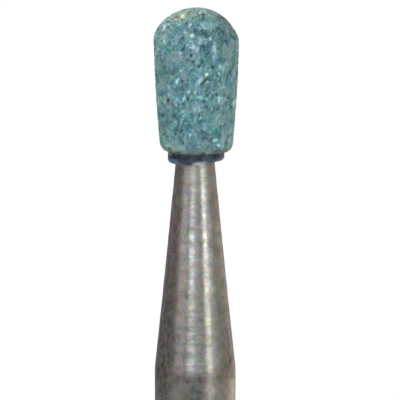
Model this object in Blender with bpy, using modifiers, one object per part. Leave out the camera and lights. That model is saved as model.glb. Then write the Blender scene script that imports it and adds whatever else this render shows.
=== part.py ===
"""Mounted point on a straight handpiece shank: a round-nosed abrasive head on a turned steel mandrel.

The tool stands on its shank's end face, in metres, with +Z along its axis and the abrasive head on
top. Three pieces make it up. The mandrel is turned from one steel rod: shank, tapered neck, seat and
a grooved spindle. The bond is the dark cement that locks the head on the spindle, and its rim shows
as a collar under the head. The abrasive head is moulded grit with a blind bore for the spindle.
"""

import math

import bpy
from mathutils import Vector

# Shank and neck of the mandrel
SHANK_DIAMETER = 0.00235
SHANK_LENGTH = 0.03395
END_CHAMFER = 0.0002
NECK_LENGTH = 0.00610
NECK_DIAMETER = 0.00112
NECK_HOLLOW = 0.000012
NECK_BLEND_RADIUS = 0.0015

# Spindle of the mandrel, inside the head, with grooves that the cement keys into
SPINDLE_DIAMETER = 0.00090
SPINDLE_TIP_CHAMFER = 0.0001
GROOVE_DEPTH = 0.00007
GROOVE_FLOOR = 0.00010
GROOVE_SLOPE = 0.00008
GROOVE_LAND = 0.00022
SPINDLE_PLAIN_END = 0.00037

# Bond between mandrel and head
BOND_FILM = 0.00006
FIT_GAP = 0.00001
COLLAR_OVERHANG = 0.000248
COLLAR_THICKNESS = 0.00025
COLLAR_ROUND = 0.00007

# Abrasive head
HEAD_DIAMETER = 0.002475
HEAD_LENGTH = 0.00420
DOME_RISE = 0.00089
DOME_EDGE_RADIUS = 0.00035
FLANK_TAPER = 0.000172
FLANK_BULGE = 0.00003
HEEL_RADIUS = 0.00027
NOSE_WALL = 0.00100

# Radii that the pieces share
SHANK_RADIUS = SHANK_DIAMETER / 2
NECK_RADIUS = NECK_DIAMETER / 2
COLLAR_RADIUS = NECK_RADIUS + COLLAR_OVERHANG
SPINDLE_RADIUS = SPINDLE_DIAMETER / 2
BOND_OUTER_RADIUS = SPINDLE_RADIUS + FIT_GAP + BOND_FILM
BORE_RADIUS = BOND_OUTER_RADIUS + FIT_GAP

# Heights along the axis that the pieces share, from the shank's end up
NECK_BASE_Z = SHANK_LENGTH
NECK_TOP_Z = NECK_BASE_Z + NECK_LENGTH
HEAD_BASE_Z = NECK_TOP_Z + COLLAR_THICKNESS
HEAD_TOP_Z = HEAD_BASE_Z + HEAD_LENGTH
BOND_TOP_Z = HEAD_BASE_Z - FIT_GAP
SEAT_Z = BOND_TOP_Z - BOND_FILM - FIT_GAP
BORE_END_Z = HEAD_TOP_Z - NOSE_WALL
CAP_Z = BORE_END_Z - FIT_GAP
SPINDLE_TIP_Z = CAP_Z - BOND_FILM - FIT_GAP

# Steps that the curves are drawn in
TURN_STEPS = 64
DOME_STEPS = 10
ROUND_STEPS = 5
FLANK_STEPS = 7
NECK_STEPS = 5
BLEND_STEPS = 3
WELD_DISTANCE = 0.000001

# Finishes: colour, roughness and metallic value
STEEL = ((0.42, 0.40, 0.37), 0.34, 1.0)
DARK_CEMENT = ((0.030, 0.035, 0.045), 0.38, 0.0)
GREEN_GRIT = ((0.12, 0.24, 0.26), 0.70, 0.0)


def material(name, finish):
    """A plain Principled material with this finish."""
    colour, roughness, metallic = finish
    made = bpy.data.materials.new(name)
    made.use_nodes = True
    shader = made.node_tree.nodes["Principled BSDF"]
    shader.inputs["Base Color"].default_value = (*colour, 1.0)
    shader.inputs["Roughness"].default_value = roughness
    shader.inputs["Metallic"].default_value = metallic
    made.diffuse_color = (*colour, 1.0)
    return made


def arc(centre, radius, start, end, steps):
    """Points on an arc in the profile's plane. Angles are in degrees, 0 outwards and 90 upwards."""
    points = []
    for step in range(steps + 1):
        angle = math.radians(start + (end - start) * step / steps)
        points.append((centre[0] + radius * math.cos(angle), centre[1] + radius * math.sin(angle)))
    return points


def bowed(start, end, bulge, steps):
    """Points from start to end, swelling by bulge to the outside at mid-way. Both ends are included."""
    points = []
    for step in range(steps + 1):
        share = step / steps
        radius = start[0] + (end[0] - start[0]) * share + bulge * 4 * share * (1 - share)
        points.append((radius, start[1] + (end[1] - start[1]) * share))
    return points


def rounded(before, corner, after, radius, steps):
    """Points of a fillet that replaces the corner between two straight or nearly straight runs."""
    tip = Vector(corner)
    to_before = (Vector(before) - tip).normalized()
    to_after = (Vector(after) - tip).normalized()
    half_angle = to_before.angle(to_after) / 2
    centre = tip + (to_before + to_after).normalized() * radius / math.sin(half_angle)
    reach = radius / math.tan(half_angle)
    first = tip + to_before * reach - centre
    last = tip + to_after * reach - centre
    turn = first.angle(last)
    points = []
    for step in range(steps + 1):
        share = step / steps
        spoke = first * math.sin(turn * (1 - share)) + last * math.sin(turn * share)
        points.append(tuple(centre + spoke / math.sin(turn)))
    return points


def turned(name, profile, finish_material, collection):
    """A turned piece: its profile, (radius, height) from the top of the axis to its foot, revolved."""
    mesh = bpy.data.meshes.new(name)
    vertices = [(radius, 0.0, height) for radius, height in profile]
    edges = [(index, index + 1) for index in range(len(profile) - 1)]
    mesh.from_pydata(vertices, edges, [])
    piece = bpy.data.objects.new(name, mesh)
    collection.objects.link(piece)
    mesh.materials.append(finish_material)
    screw = piece.modifiers.new("Turning", "SCREW")
    screw.axis = "Z"
    screw.steps = TURN_STEPS
    screw.render_steps = TURN_STEPS
    screw.use_merge_vertices = True
    screw.merge_threshold = WELD_DISTANCE
    screw.use_smooth_shade = True
    return piece


def groove_middles():
    """Heights of the spindle's grooves, from the seat up, as many as its length has room for."""
    width = GROOVE_FLOOR + 2 * GROOVE_SLOPE
    pitch = width + GROOVE_LAND
    first = SEAT_Z + SPINDLE_PLAIN_END + width / 2
    last = SPINDLE_TIP_Z - SPINDLE_PLAIN_END - width / 2
    count = max(0, math.floor((last - first) / pitch) + 1)
    return [first + pitch * index for index in range(count)]


def spindle_outline(gap):
    """The spindle's tip and side, from the axis down to its foot, moved outwards by gap."""
    radius = SPINDLE_RADIUS + gap
    tip_z = SPINDLE_TIP_Z + gap
    outline = [(0.0, tip_z), (radius - SPINDLE_TIP_CHAMFER, tip_z), (radius, tip_z - SPINDLE_TIP_CHAMFER)]
    floor_radius = radius - GROOVE_DEPTH
    floor_reach = GROOVE_FLOOR / 2
    groove_reach = floor_reach + GROOVE_SLOPE
    for middle in reversed(groove_middles()):
        outline.append((radius, middle + groove_reach))
        outline.append((floor_radius, middle + floor_reach))
        outline.append((floor_radius, middle - floor_reach))
        outline.append((radius, middle - groove_reach))
    outline.append((radius, SEAT_Z + gap))
    return outline


def mandrel_profile():
    """Spindle, seat, neck land, hollow taper, shank and chamfered end."""
    neck_top = (NECK_RADIUS, NECK_TOP_Z)
    neck_base = (SHANK_RADIUS, NECK_BASE_Z)
    taper = bowed(neck_top, neck_base, -NECK_HOLLOW, NECK_STEPS)
    shank_foot = (SHANK_RADIUS, END_CHAMFER)
    profile = spindle_outline(0.0)
    profile.append((NECK_RADIUS, SEAT_Z))
    profile.extend(taper[:-1])
    profile.extend(rounded(taper[-2], neck_base, shank_foot, NECK_BLEND_RADIUS, BLEND_STEPS))
    profile.append(shank_foot)
    profile.append((SHANK_RADIUS - END_CHAMFER, 0.0))
    profile.append((0.0, 0.0))
    return profile


def bond_profile():
    """Cement: a cap and sleeve over the spindle, then a film over the seat that swells into the collar."""
    rim_top = (COLLAR_RADIUS, BOND_TOP_Z)
    rim_foot = (COLLAR_RADIUS, NECK_TOP_Z)
    underside = (NECK_RADIUS + FIT_GAP, NECK_TOP_Z)
    profile = [(0.0, CAP_Z), (BOND_OUTER_RADIUS, CAP_Z), (BOND_OUTER_RADIUS, BOND_TOP_Z), rim_top]
    profile.extend(rounded(rim_top, rim_foot, underside, COLLAR_ROUND, ROUND_STEPS))
    profile.append(underside)
    profile.append((NECK_RADIUS + FIT_GAP, SEAT_Z + FIT_GAP))
    profile.extend(reversed(spindle_outline(FIT_GAP)))
    return profile


def head_profile():
    """Domed nose, barrelled flank that narrows to a rounded heel, flat underside and blind bore."""
    head_radius = HEAD_DIAMETER / 2
    heel_radius = head_radius - FLANK_TAPER
    heel_z = HEAD_BASE_Z + HEEL_RADIUS
    dome_radius = (head_radius ** 2 + DOME_RISE ** 2) / (2 * DOME_RISE)
    dome_centre = (0.0, HEAD_TOP_Z - dome_radius)
    edge_angle = math.degrees(math.acos(head_radius / dome_radius))
    dome = arc(dome_centre, dome_radius, 90.0, edge_angle, DOME_STEPS)
    flank = bowed(dome[-1], (heel_radius, heel_z), FLANK_BULGE, FLANK_STEPS)
    heel = arc((heel_radius - HEEL_RADIUS, heel_z), HEEL_RADIUS, 0.0, -90.0, ROUND_STEPS)
    profile = [(0.0, HEAD_TOP_Z)]
    profile.extend(dome[1:-1])
    profile.extend(rounded(dome[-2], dome[-1], flank[1], DOME_EDGE_RADIUS, ROUND_STEPS))
    profile.extend(flank[1:])
    profile.extend(heel[1:])
    profile.append((BORE_RADIUS, HEAD_BASE_Z))
    profile.append((BORE_RADIUS, BORE_END_Z))
    profile.append((0.0, BORE_END_Z))
    return profile


def main():
    for old in list(bpy.data.objects):
        bpy.data.objects.remove(old)
    collection = bpy.data.collections.new("mounted_point")
    bpy.context.scene.collection.children.link(collection)
    turned("steel_mandrel", mandrel_profile(), material("turned_steel", STEEL), collection)
    turned("bond_collar", bond_profile(), material("dark_cement", DARK_CEMENT), collection)
    turned("abrasive_head", head_profile(), material("green_grit", GREEN_GRIT), collection)


main()
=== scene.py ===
"""Looks of a mounted point: a head of real grit grains, an uneven cement collar and a turned mandrel.

Each CAD solid is replaced by a finer mesh of the same form. The head's grains and pores, the
collar's lumps and the mandrel's turning marks are geometry. Colour, gloss and the finest relief
come from node materials. Lengths are in metres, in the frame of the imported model.
"""

import math

import bpy
import numpy as np
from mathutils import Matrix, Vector
from mathutils.kdtree import KDTree


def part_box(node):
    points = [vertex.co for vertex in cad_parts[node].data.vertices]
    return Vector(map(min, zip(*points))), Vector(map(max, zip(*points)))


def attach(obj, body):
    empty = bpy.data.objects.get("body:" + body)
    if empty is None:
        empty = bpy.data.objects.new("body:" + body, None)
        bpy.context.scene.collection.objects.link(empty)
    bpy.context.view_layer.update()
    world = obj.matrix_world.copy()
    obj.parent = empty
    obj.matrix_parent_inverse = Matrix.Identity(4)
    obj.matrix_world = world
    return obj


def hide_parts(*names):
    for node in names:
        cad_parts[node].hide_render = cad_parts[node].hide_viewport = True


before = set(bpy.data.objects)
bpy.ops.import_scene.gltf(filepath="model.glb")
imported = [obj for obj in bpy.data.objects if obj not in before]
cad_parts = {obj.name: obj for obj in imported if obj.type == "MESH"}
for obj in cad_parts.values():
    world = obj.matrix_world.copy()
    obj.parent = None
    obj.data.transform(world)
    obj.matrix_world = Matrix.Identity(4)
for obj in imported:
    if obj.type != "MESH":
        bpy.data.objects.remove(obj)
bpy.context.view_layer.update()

MM = 0.001

VIEW_TILT = math.radians(9.0)
WHITE = (1.0, 1.0, 1.0)

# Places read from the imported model
HEAD_LOW, HEAD_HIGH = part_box("abrasive_head")
BOND_LOW, BOND_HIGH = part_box("bond_collar")
MANDREL_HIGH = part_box("steel_mandrel")[1]

# Shank and neck, as in the model
SHANK_RADIUS = MANDREL_HIGH.x
SHANK_TOP_Z = 33.95 * MM
END_CHAMFER = 0.20 * MM
NECK_RADIUS = 0.56 * MM
NECK_HOLLOW = 0.012 * MM
NECK_BLEND_RADIUS = 2.5 * MM

# Spindle and the cement round it, as in the model
SPINDLE_RADIUS = 0.45 * MM
SPINDLE_TIP_Z = MANDREL_HIGH.z
SPINDLE_TIP_CHAMFER = 0.10 * MM
SPINDLE_PLAIN_END = 0.37 * MM
GROOVE_DEPTH = 0.07 * MM
GROOVE_FLOOR = 0.10 * MM
GROOVE_SLOPE = 0.08 * MM
GROOVE_LAND = 0.22 * MM
BOND_FILM = 0.06 * MM
FIT_GAP = 0.01 * MM
BOND_RADIUS = SPINDLE_RADIUS + FIT_GAP + BOND_FILM
BORE_RADIUS = BOND_RADIUS + FIT_GAP
BORE_END_Z = BOND_HIGH.z + FIT_GAP

# Collar
COLLAR_RADIUS = BOND_HIGH.x
COLLAR_ROUND = 0.085 * MM
COLLAR_SWELL = 0.014 * MM
COLLAR_DROOP = 0.022 * MM
COLLAR_LEAN = 0.042 * MM
COLLAR_SAG = 0.028 * MM
COLLAR_TOP_Z = HEAD_LOW.z - FIT_GAP
COLLAR_FOOT_Z = BOND_LOW.z
SEAT_Z = COLLAR_TOP_Z - BOND_FILM - FIT_GAP

# Head
HEAD_RADIUS = 1.2375 * MM
DOME_RISE = 0.89 * MM
DOME_RADIUS = (HEAD_RADIUS ** 2 + DOME_RISE ** 2) / (2 * DOME_RISE)
DOME_EDGE_RADIUS = 0.60 * MM
FLANK_TAPER = 0.172 * MM
FLANK_BULGE = 0.03 * MM
HEEL_RADIUS = 0.27 * MM
HEAD_BASE_Z = HEAD_LOW.z
HEAD_TOP_Z = HEAD_HIGH.z

# The head and the collar sit a little off the mandrel's axis
HEAD_RUN_OUT = 0.036 * MM
DOME_RUN_OUT = -0.030 * MM
COLLAR_RUN_OUT = 0.028 * MM

# Points nearer to each other than this are one
WELD_DISTANCE = 0.000001 * MM

# Free values past the end of a smooth noise
SPARE_KNOTS = 4


def arc(centre, radius, start, end, steps):
    """Points on an arc in the profile's plane. Angles are in degrees, 0 outwards and 90 upwards."""
    angles = np.radians(np.linspace(start, end, steps + 1))
    return [(centre[0] + radius * math.cos(a), centre[1] + radius * math.sin(a)) for a in angles]


def bowed(start, end, bulge, steps):
    """Points from start to end, swelling by bulge to the outside at mid-way."""
    points = []
    for share in np.linspace(0, 1, steps + 1):
        radius = start[0] + (end[0] - start[0]) * share + bulge * 4 * share * (1 - share)
        points.append((radius, start[1] + (end[1] - start[1]) * share))
    return points


def rounded(before, corner, after, radius, steps):
    """Points of a fillet in place of the corner between two nearly straight runs."""
    tip = Vector(corner)
    to_before = (Vector(before) - tip).normalized()
    to_after = (Vector(after) - tip).normalized()
    half_angle = to_before.angle(to_after) / 2
    centre = tip + (to_before + to_after).normalized() * radius / math.sin(half_angle)
    reach = radius / math.tan(half_angle)
    first = tip + to_before * reach - centre
    last = tip + to_after * reach - centre
    turn = first.angle(last)
    points = []
    for share in np.linspace(0, 1, steps + 1):
        spoke = first * math.sin(turn * (1 - share)) + last * math.sin(turn * share)
        points.append(tuple(centre + spoke / math.sin(turn)))
    return points


def resampled(points, spacing):
    """The same line with its runs divided into equal steps no longer than spacing."""
    fine = [points[0]]
    for (r0, z0), (r1, z1) in zip(points, points[1:]):
        steps = max(1, math.ceil(math.hypot(r1 - r0, z1 - z0) / spacing))
        for share in np.linspace(0, 1, steps + 1)[1:]:
            fine.append((r0 + (r1 - r0) * share, z0 + (z1 - z0) * share))
    return fine


def joined(*runs):
    """One line from several runs, with points that repeat left out."""
    line = []
    for run in runs:
        for point in run:
            if not line or math.dist(point, line[-1]) > WELD_DISTANCE:
                line.append(tuple(point))
    return np.array(line)


def profile_normals(profile):
    """Unit normals of the profile, pointing out of the solid."""
    along = np.gradient(profile, axis=0)
    normals = np.column_stack([-along[:, 1], along[:, 0]])
    return normals / np.linalg.norm(normals, axis=1, keepdims=True)


def ring_angles(segments):
    """The angles of a ring's points, in radians from +X."""
    return np.linspace(0, 2 * math.pi, segments, endpoint=False)


def spun(flat, angles):
    """Pairs of radius and height, turned round the axis by these angles."""
    radius, height = flat[..., 0], flat[..., 1]
    return np.stack([radius * np.cos(angles), radius * np.sin(angles), height + 0 * angles], axis=-1)


def ring_points(profile, segments):
    """Points of all rings, as rows by segments by 3, and their outward normals."""
    angles = ring_angles(segments)
    return spun(profile[:, None], angles), spun(profile_normals(profile)[:, None], angles)


def placed(name, data):
    """A new object with this data, linked into the scene."""
    made = bpy.data.objects.new(name, data)
    bpy.context.scene.collection.objects.link(made)
    return made


def lathe_mesh(name, points):
    """A closed mesh from rings. The first and last ring have no radius, and become one point each."""
    rows, segments = points.shape[:2]
    rings = points[1:-1].reshape(-1, 3)
    vertices = np.vstack([points[0, 0], rings, points[-1, 0]])
    index = 1 + np.arange((rows - 2) * segments).reshape(rows - 2, segments)
    turned_index = np.roll(index, -1, axis=1)
    quads = np.stack([index[:-1], index[1:], turned_index[1:], turned_index[:-1]], axis=-1)
    top = np.stack([np.zeros(segments, int), index[0], turned_index[0]], axis=-1)
    foot = np.stack([np.full(segments, len(vertices) - 1), turned_index[-1], index[-1]], axis=-1)
    mesh = bpy.data.meshes.new(name)
    mesh.from_pydata(vertices, [], quads.reshape(-1, 4).tolist() + top.tolist() + foot.tolist())
    mesh.shade_smooth()
    return placed(name, mesh)


def add_attribute(piece, name, values):
    """A number for each vertex of a lathe mesh, from rows by segments. The material reads it by name."""
    by_vertex = np.concatenate([values[0, :1], values[1:-1].ravel(), values[-1, :1]])
    attribute = piece.data.attributes.new(name, "FLOAT", "POINT")
    attribute.data.foreach_set("value", by_vertex.astype(np.float32))


def smooth_noise(rng, length, spacing, positions):
    """Smooth random numbers of about unit size along a line, with one free value each spacing."""
    knots = rng.standard_normal(int(length / spacing) + SPARE_KNOTS)
    place = positions / spacing
    index = place.astype(int)
    share = smooth_step(place - index, 0, 1)
    return knots[index] * (1 - share) + knots[index + 1] * share


def smooth_step(values, low, high):
    """0 below low, 1 above high, and an even curve between."""
    share = np.clip((values - low) / (high - low), 0, 1)
    return share * share * (3 - 2 * share)


def smooth_fall(values, low, high):
    """1 below low, 0 above high, and an even curve between."""
    return 1 - smooth_step(values, low, high)


def banded(values, strength, rise, fall):
    """A band of this strength, which begins over the range rise and ends over the range fall."""
    return strength * smooth_step(values, *rise) * smooth_fall(values, *fall)


def toward(angles, facing, low, high):
    """1 on one side and 0 on the others. Facing is its angle, 0 at the right and -90 at the camera, and
    low and high are cosines of the turn from it, where the side begins and where it is full."""
    return smooth_step(np.cos(angles - math.radians(facing)), low, high)


# Node materials

# Nearly all of a noise's values lie in this range
NOISE_RANGE = (0.30, 0.70)


def new_material(name):
    """A material with one Principled shader, and its node tree."""
    made = bpy.data.materials.new(name)
    made.use_nodes = True
    return made, made.node_tree


def add_node(tree, kind, **settings):
    """A node of this kind, with these settings."""
    node = tree.nodes.new(kind)
    for key, value in settings.items():
        setattr(node, key, value)
    return node


def plug(tree, value, socket):
    """Feeds a socket with a node's output, a colour or a number."""
    if isinstance(value, bpy.types.NodeSocket):
        tree.links.new(value, socket)
    elif isinstance(value, tuple):
        socket.default_value = (*value, 1.0)
    else:
        socket.default_value = value


def feed(tree, node, values):
    """Feeds a node's inputs, by their names or numbers."""
    for key, value in values.items():
        plug(tree, value, node.inputs[key])


def noise(tree, waves, detail, roughness, stretch):
    """A noise's value, in waves per millimetre of the object's coordinates, each times its stretch."""
    place = add_node(tree, "ShaderNodeTexCoord")
    scale = add_node(tree, "ShaderNodeVectorMath", operation="MULTIPLY")
    feed(tree, scale, {0: place.outputs["Object"], 1: [factor / MM for factor in stretch]})
    node = add_node(tree, "ShaderNodeTexNoise")
    feed(tree, node, {"Scale": waves, "Detail": detail, "Roughness": roughness})
    feed(tree, node, {"Vector": scale.outputs[0]})
    return node.outputs["Fac"]


def attribute(tree, name):
    """A mesh attribute's number."""
    node = add_node(tree, "ShaderNodeAttribute", attribute_name=name)
    return node.outputs["Fac"]


def ramp(tree, value, *stops):
    """Colour by value, from (position, colour) stops."""
    node = add_node(tree, "ShaderNodeValToRGB")
    band = node.color_ramp.elements
    while len(band) < len(stops):
        band.new(0.5)
    for element, (position, colour) in zip(band, stops):
        element.position = position
        element.color = (*colour, 1.0)
    tree.links.new(value, node.inputs[0])
    return node.outputs["Color"]


def even_ramp(tree, value, colours):
    """Colour by value from 0 to 1, through these colours in even steps."""
    return ramp(tree, value, *zip(np.linspace(0, 1, len(colours)), colours))


def three_tones(tree, value, reach, low, middle, high):
    """Colour by a noise's value: middle at one half, and low and high at reach below and above it."""
    return ramp(tree, value, (0.5 - reach, low), (0.5, middle), (0.5 + reach, high))


def spread(tree, value, low, high, to_low, to_high):
    """The value mapped from one range to another, and clamped there."""
    node = add_node(tree, "ShaderNodeMapRange", clamp=True)
    feed(tree, node, dict(enumerate((value, low, high, to_low, to_high))))
    return node.outputs[0]


def computed(tree, operation, *values):
    """The result of this operation on other nodes' outputs."""
    node = add_node(tree, "ShaderNodeMath", operation=operation)
    feed(tree, node, dict(enumerate(values)))
    return node.outputs[0]


def mixed(tree, share, first, second, blend_type="MIX"):
    """Two colours mixed by share, which is a number or a socket."""
    node = add_node(tree, "ShaderNodeMix", data_type="RGBA", blend_type=blend_type)
    feed(tree, node, {0: share, 6: first, 7: second})
    return node.outputs[2]


def bump(tree, height, distance, strength=1.0, **under):
    """A bumped normal from a height value, with distance in metres, over another normal if given."""
    node = add_node(tree, "ShaderNodeBump")
    feed(tree, node, {"Height": height, "Distance": distance, "Strength": strength, **under})
    return node.outputs["Normal"]


# Steel. A noise has its waves per millimetre, detail, roughness and stretch. Three tones have their reach
# in a noise's values, then their colours.
RING_NOISE = (8.0, 1.0, 0.5, (0.50, 0.50, 1.0))
DENT_NOISE = (3.2, 1.0, 0.5, (0.80, 0.80, 1.0))
STAIN_NOISE = (4.0, 4.0, 0.65, (1.0, 1.0, 0.8))
PINK_NOISE = (6.5, 3.0, 0.6, (1.0, 1.0, 0.8))
BROWN_NOISE = (4.8, 4.0, 0.65, (1.0, 1.0, 0.7))
OXIDE_NOISE = (7.0, 3.0, 0.6, (1.0, 1.0, 0.9))
FILM_NOISE = (5.0, 2.0, 0.5, (1.0, 1.0, 0.85))
RING_RELIEF = 0.0020 * MM
DENT_RELIEF = 0.008 * MM
STAIN_DARK = (0.285, 0.275, 0.26)
STAIN_PALE = (0.565, 0.555, 0.53)
PINK_TINTS = (0.18, (0.88, 1.06, 0.95), WHITE, (1.15, 0.91, 1.06))
BROWN_TINTS = (0.18, (0.95, 1.0, 1.06), WHITE, (1.08, 1.02, 0.84))
FILM_COLOURS = (0.14, (0.22, 0.33, 0.23), (0.43, 0.31, 0.28), (0.27, 0.29, 0.36))
OXIDE_EDGE = (0.40, 0.66)
FILM_SHARE = 0.85
SHOULDER_DARK_TINT = (0.60, 0.585, 0.55)
# Tint of a small smudge in front, and of painted shade on the right side and on the neck under the collar
SMUDGE_AND_SHADE_TINT = (0.62, 0.68, 0.72)
STEEL_ROUGHNESS = (0.20, 0.30)
LEAST_METALLIC = 0.78


def turned_steel():
    """Satin tool steel: fine turning marks that bead the highlights, stains and faint heat tints."""
    made, tree = new_material("turned_steel")
    colour = ramp(tree, noise(tree, *STAIN_NOISE), *zip(NOISE_RANGE, (STAIN_DARK, STAIN_PALE)))
    for share, tint in (
        (1.0, three_tones(tree, noise(tree, *PINK_NOISE), *PINK_TINTS)),
        (1.0, three_tones(tree, noise(tree, *BROWN_NOISE), *BROWN_TINTS)),
        # Darker over the shoulder
        (attribute(tree, "shoulder_dark"), SHOULDER_DARK_TINT),
        # A small smudge, and painted shade on the right side and on the neck under the collar
        (attribute(tree, "smudge_and_shade"), SMUDGE_AND_SHADE_TINT),
    ):
        colour = mixed(tree, share, colour, tint, "MULTIPLY")
    oxide = noise(tree, *OXIDE_NOISE)
    film = spread(tree, oxide, *OXIDE_EDGE, 0.0, FILM_SHARE)
    film = computed(tree, "MULTIPLY", film, attribute(tree, "handled"))
    rings = noise(tree, *RING_NOISE)
    roughness = spread(tree, rings, *NOISE_RANGE, *STEEL_ROUGHNESS)
    dents = bump(tree, noise(tree, *DENT_NOISE), DENT_RELIEF, attribute(tree, "dented"))
    film_colour = three_tones(tree, noise(tree, *FILM_NOISE), *FILM_COLOURS)
    feed(tree, tree.nodes["Principled BSDF"], {
        "Base Color": mixed(tree, film, colour, film_colour),
        "Metallic": spread(tree, oxide, *OXIDE_EDGE, 1.0, LEAST_METALLIC),
        "Roughness": computed(tree, "ADD", roughness, attribute(tree, "rubbed")),
        "Normal": bump(tree, rings, RING_RELIEF, Normal=dents),
    })
    return made


# Grit
EVEN = (1.0, 1.0, 1.0)
CLOUD_NOISE = (4.6, 2.0, 0.5, (1.0, 1.0, 0.8))
PATCH_NOISE = (1.0, 2.0, 0.5, EVEN)
BLOTCH_NOISE = (3.2, 2.0, 0.5, EVEN)
MOULD_NOISE = (5.2, 1.0, 0.5, EVEN)
RUST_NOISE = (4.6, 1.0, 0.5, (1.0, 1.0, 0.9))
FACET_NOISE = (11.0, 2.0, 0.5, EVEN)
FACET_RELIEF = 0.014 * MM
FACET_STRENGTH = 0.55
CLOUD_TONE = 0.33
TEALS = (
    (0.018, 0.106, 0.122), (0.079, 0.226, 0.258), (0.146, 0.32, 0.35), (0.23, 0.436, 0.468),
    (0.45, 0.74, 0.77),
)
HUE_TINTS = ((1.05, 1.08, 0.70), (0.90, 1.04, 0.93), WHITE, (0.86, 1.0, 1.22), (1.24, 0.97, 1.08))
PATCH_TINTS = (0.14, (0.90, 1.01, 1.03), WHITE, (1.08, 0.985, 0.98))
BLOTCH_TINTS = (0.16, (0.84, 1.01, 0.99), WHITE, (1.13, 0.985, 0.99))
MOULD_TINTS = (0.14, (0.84, 1.035, 0.96), WHITE, (1.17, 0.970, 1.03))
RUST_TINTS = (0.14, (0.98, 1.005, 1.09), WHITE, (1.02, 1.0, 0.90))
PALE_TONES = (0.65, 1.0)
PALE_TINTED = 0.45
# Painted sheen on the flanks and the nose
GRAZING_SHEEN_TINT = (1.24, 1.06, 0.99)
# Painted shade on the heel and on the right shoulder
PAINTED_SHADE_TINT = (0.80, 0.50, 0.42)
# Painted warm highlight on the nose, a warmer nose, and warm dust on the heel
WARM_SHEEN_AND_DUST_COLOUR = (0.42, 0.44, 0.29)
DEPTH_COLOUR = (0.008, 0.042, 0.058)
# Colours of painted highlights, which glinting grains take as their colour
GLINT_STOPS = (
    (0.0, (1.0, 0.95, 0.68)), (0.14, (1.0, 0.97, 0.75)), (0.25, (0.45, 0.95, 0.90)),
    (0.50, (0.84, 1.0, 0.84)), (0.75, (0.70, 0.90, 1.0)),
)
GRAIN_ROUGHNESS = 0.42
GLINT_ROUGHNESS = 0.18
GRAIN_IOR = 1.55


def green_grit():
    """Blue-green crystals: each grain has its own tone and tint, over a darker bond."""
    made, tree = new_material("green_grit")
    cloud = spread(tree, noise(tree, *CLOUD_NOISE), *NOISE_RANGE, -CLOUD_TONE, CLOUD_TONE)
    calm = attribute(tree, "grain_calm")
    tone = computed(tree, "MULTIPLY_ADD", cloud, calm, attribute(tree, "grain_tone"))
    hue = attribute(tree, "grain_hue")
    tinted = spread(tree, tone, *PALE_TONES, 1.0, PALE_TINTED)
    colour = even_ramp(tree, tone, TEALS)
    for share, tint in (
        (1.0, three_tones(tree, noise(tree, *PATCH_NOISE), *PATCH_TINTS)),
        (tinted, even_ramp(tree, hue, HUE_TINTS)),
        (tinted, three_tones(tree, noise(tree, *BLOTCH_NOISE), *BLOTCH_TINTS)),
        (tinted, three_tones(tree, noise(tree, *MOULD_NOISE), *MOULD_TINTS)),
        (tinted, three_tones(tree, noise(tree, *RUST_NOISE), *RUST_TINTS)),
        # Painted sheen on the flanks and the nose
        (attribute(tree, "grain_grazing_sheen"), GRAZING_SHEEN_TINT),
        # Painted shade on the heel and on the right shoulder
        (attribute(tree, "grain_painted_shade"), PAINTED_SHADE_TINT),
    ):
        colour = mixed(tree, share, colour, tint, "MULTIPLY")
    # Painted warm highlight on the nose, a warmer nose, and warm dust on the heel
    colour = mixed(tree, attribute(tree, "grain_warm_sheen_and_dust"), colour, WARM_SHEEN_AND_DUST_COLOUR)
    colour = mixed(tree, attribute(tree, "grain_depth"), colour, DEPTH_COLOUR)
    glint = attribute(tree, "grain_glint")
    feed(tree, tree.nodes["Principled BSDF"], {
        # Glints are painted highlights, with a lower roughness
        "Base Color": mixed(tree, glint, colour, ramp(tree, hue, *GLINT_STOPS)),
        "Roughness": spread(tree, glint, 0.0, 1.0, GRAIN_ROUGHNESS, GLINT_ROUGHNESS),
        "IOR": GRAIN_IOR,
        "Normal": bump(tree, noise(tree, *FACET_NOISE), FACET_RELIEF, FACET_STRENGTH),
    })
    return made


# Cement
CEMENT_NOISE = (9.0, 3.0, 0.6, EVEN)
CEMENT_RELIEF = 0.010 * MM
CEMENT_STRENGTH = 0.7
CEMENT_COLOURS = (0.16, (0.004, 0.006, 0.009), (0.016, 0.022, 0.038), (0.045, 0.064, 0.105))
# Painted sheen on the collar's lower bevel
BEVEL_SHEEN_COLOUR = (0.085, 0.140, 0.225)
DUST_COLOUR = (0.17, 0.22, 0.22)
# Painted highlight on the collar's lip
LIP_HIGHLIGHT_COLOUR = (0.58, 0.57, 0.68)
CEMENT_ROUGHNESS = (0.22, 0.40)
CEMENT_IOR = 1.66
CEMENT_GLOSS_TINT = (0.72, 0.86, 1.0)


def dark_cement():
    """Blue-black cement, glossy and uneven. Painted sheen on the bevel, dust and a painted lip highlight
    make it paler.
    """
    made, tree = new_material("dark_cement")
    grain = noise(tree, *CEMENT_NOISE)
    colour = three_tones(tree, grain, *CEMENT_COLOURS)
    # Painted sheen on the lower bevel, dust, and a painted highlight on the lip
    for name, paler in (("bevel_sheen", BEVEL_SHEEN_COLOUR), ("dust", DUST_COLOUR), ("lip_highlight", LIP_HIGHLIGHT_COLOUR)):
        colour = mixed(tree, attribute(tree, name), colour, paler)
    feed(tree, tree.nodes["Principled BSDF"], {
        "Base Color": colour,
        "Roughness": spread(tree, grain, *NOISE_RANGE, *CEMENT_ROUGHNESS),
        "IOR": CEMENT_IOR,
        "Specular Tint": CEMENT_GLOSS_TINT,
        "Normal": bump(tree, grain, CEMENT_RELIEF, CEMENT_STRENGTH),
    })
    return made


# Mandrel

MANDREL_SEED = 7
MANDREL_SEGMENTS = 120
FINE_ROW = 0.028 * MM
COARSE_ROW = 0.095 * MM
FINE_SHANK = 3.0 * MM

# The neck's blend into the shank takes the place of the taper's last steps
NECK_STEPS = 60
BLEND_STEPS = 6
BLEND_TRIM = 2

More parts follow.
